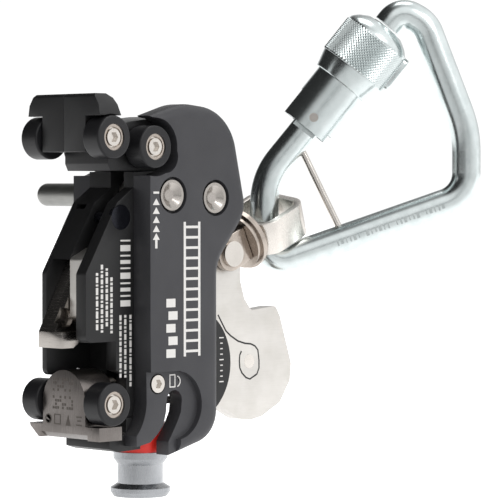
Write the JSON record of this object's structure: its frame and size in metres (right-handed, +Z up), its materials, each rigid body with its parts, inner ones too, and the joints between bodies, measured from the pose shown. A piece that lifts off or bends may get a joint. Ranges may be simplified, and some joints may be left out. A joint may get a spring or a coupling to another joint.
{
  "type": "guided fall arrester",
  "caption": "Rail-guided fall arrester: roller carriage with a spring-loaded pawl, brake lever, release sleeve, and a swivel eye holding a locking carabiner.",
  "frame": {"origin": "on the carriage's front plane, midway between the upper and lower inner roller axles and between the two covers", "axes": "+X from the rail towards the climber, +Y to the far side, +Z up the rail"},
  "size_m": [0.1893, 0.1338, 0.2154],
  "materials": {
    "anodised": "black hard anodised, fine matte bead-blasted grain",
    "roller_plastic": "turned black acetal",
    "stainless": "polished and brushed stainless steel",
    "plain_steel": "tumbled grey steel",
    "satin_aluminium": "turned satin aluminium",
    "red_anodised": "red satin coating",
    "zinc_steel": "bright zinc-plated forged steel"
  },
  "bodies": {
    "carrier": {"head_near": "anodised", "head_far": "anodised", "carrier_top": "anodised", "carrier_near_plate": "anodised", "carrier_far_plate": "anodised", "near_cover": "anodised", "far_cover": "anodised", "lever_axle": "stainless", "stop_bolt": "stainless", "bolt_heads": "stainless", "foot_screws": "stainless", "pawl_pin": "stainless", "pawl_spring": "stainless", "guide_pin": "plain_steel", "gauge_plate": "anodised", "guide_foot": "stainless", "foot_collar": "stainless", "carrier_base": "anodised", "release_spindle": "stainless", "sleeve_spring": "stainless", "bearing_sleeves": "stainless", "roller_screws": "stainless"},
    "roller_upper_near_body": {"roller_upper_near": "roller_plastic", "bearing_upper_near": "stainless"},
    "roller_upper_far_body": {"roller_upper_far": "roller_plastic", "bearing_upper_far": "stainless"},
    "roller_outer_near_body": {"roller_outer_near": "roller_plastic", "bearing_outer_near": "stainless"},
    "roller_outer_far_body": {"roller_outer_far": "roller_plastic", "bearing_outer_far": "stainless"},
    "roller_lower_near_body": {"roller_lower_near": "roller_plastic", "bearing_lower_near": "stainless"},
    "roller_lower_far_body": {"roller_lower_far": "roller_plastic", "bearing_lower_far": "stainless"},
    "lever": {"brake_lever": "stainless", "tear_rivet": "stainless", "clevis_bolt": "stainless"},
    "pawl_body": {"pawl": "stainless"},
    "sleeve": {"release_sleeve": "satin_aluminium", "red_band": "red_anodised"},
    "swivel": {"swivel_knuckle": "stainless", "swivel_flange": "stainless", "swivel_stud": "stainless"},
    "eye": {"swivel_eye": "stainless"},
    "carabiner": {"carabiner_frame": "zinc_steel", "captive_pin": "stainless"},
    "gate_body": {"gate": "zinc_steel", "gate_pin": "stainless"},
    "lock": {"lock_sleeve": "zinc_steel"}
  },
  "joints": [
    {"name": "roller_upper_near_spin", "type": "hinge", "parent": "carrier", "child": "roller_upper_near_body", "pos_m": [0.0064, -0.0198, 0.05535], "axis": [0, 1, 0], "continuous": true},
    {"name": "roller_upper_far_spin", "type": "hinge", "parent": "carrier", "child": "roller_upper_far_body", "pos_m": [0.0064, 0.0198, 0.05535], "axis": [0, 1, 0], "continuous": true},
    {"name": "roller_outer_near_spin", "type": "hinge", "parent": "carrier", "child": "roller_outer_near_body", "pos_m": [0.0296, -0.0198, 0.0516], "axis": [0, 1, 0], "continuous": true},
    {"name": "roller_outer_far_spin", "type": "hinge", "parent": "carrier", "child": "roller_outer_far_body", "pos_m": [0.0296, 0.0198, 0.0516], "axis": [0, 1, 0], "continuous": true},
    {"name": "roller_lower_near_spin", "type": "hinge", "parent": "carrier", "child": "roller_lower_near_body", "pos_m": [0.0064, -0.0198, -0.05535], "axis": [0, 1, 0], "continuous": true},
    {"name": "roller_lower_far_spin", "type": "hinge", "parent": "carrier", "child": "roller_lower_far_body", "pos_m": [0.0064, 0.0198, -0.05535], "axis": [0, 1, 0], "continuous": true},
    {"name": "lever_pivot", "type": "hinge", "parent": "carrier", "child": "lever", "pos_m": [0.0396, -0.0037, 0.0313], "axis": [0, 1, 0], "range_deg": [0, 8], "stiffness_Nm_per_rad": 3, "springref_deg": -20.05},
    {"name": "pawl_pivot", "type": "hinge", "parent": "carrier", "child": "pawl_body", "pos_m": [0.0197, 0.0081, 0.0221], "axis": [0, 1, 0], "range_deg": [0, 8.2]},
    {"name": "sleeve_slide", "type": "slide", "parent": "carrier", "child": "sleeve", "axis": [0, 0, 1], "range_m": [0, 0.007], "stiffness_N_per_m": 600, "springref_m": -0.01, "deforming": ["sleeve_spring"]},
    {"name": "swivel_lift", "type": "hinge", "parent": "lever", "child": "swivel", "pos_m": [0.0865, -0.0037, 0.0055], "axis": [0, 1, 0], "range_deg": [-20, 0]},
    {"name": "eye_spin", "type": "hinge", "parent": "swivel", "child": "eye", "pos_m": [0.1146, -0.0037, 0.0186], "axis": [0.9063, 0, 0.4226], "continuous": true},
    {"name": "carabiner_swing", "type": "hinge", "parent": "eye", "child": "carabiner", "pos_m": [0.11414, -0.0037, 0.01839], "axis": [0, 0, 1], "range_deg": [0, 30]},
    {"name": "gate_open", "type": "hinge", "parent": "carabiner", "child": "gate_body", "pos_m": [0.12967, -0.01886, 0.06531], "axis": [0.6984, 0.7157, 0], "range_deg": [0, 24], "stiffness_Nm_per_rad": 0.3, "springref_deg": -28.65},
    {"name": "lock_turn", "type": "hinge", "parent": "gate_body", "child": "lock", "pos_m": [0.14579, -0.03458, 0.0934], "axis": [0.4475, -0.4367, 0.7804], "range_deg": [0, 60], "stiffness_Nm_per_rad": 0.05, "springref_deg": -34.38}
  ],
  "couplings": [
    {"joint": "pawl_pivot", "follows": "lever_pivot", "ratio": 1}
  ]
}
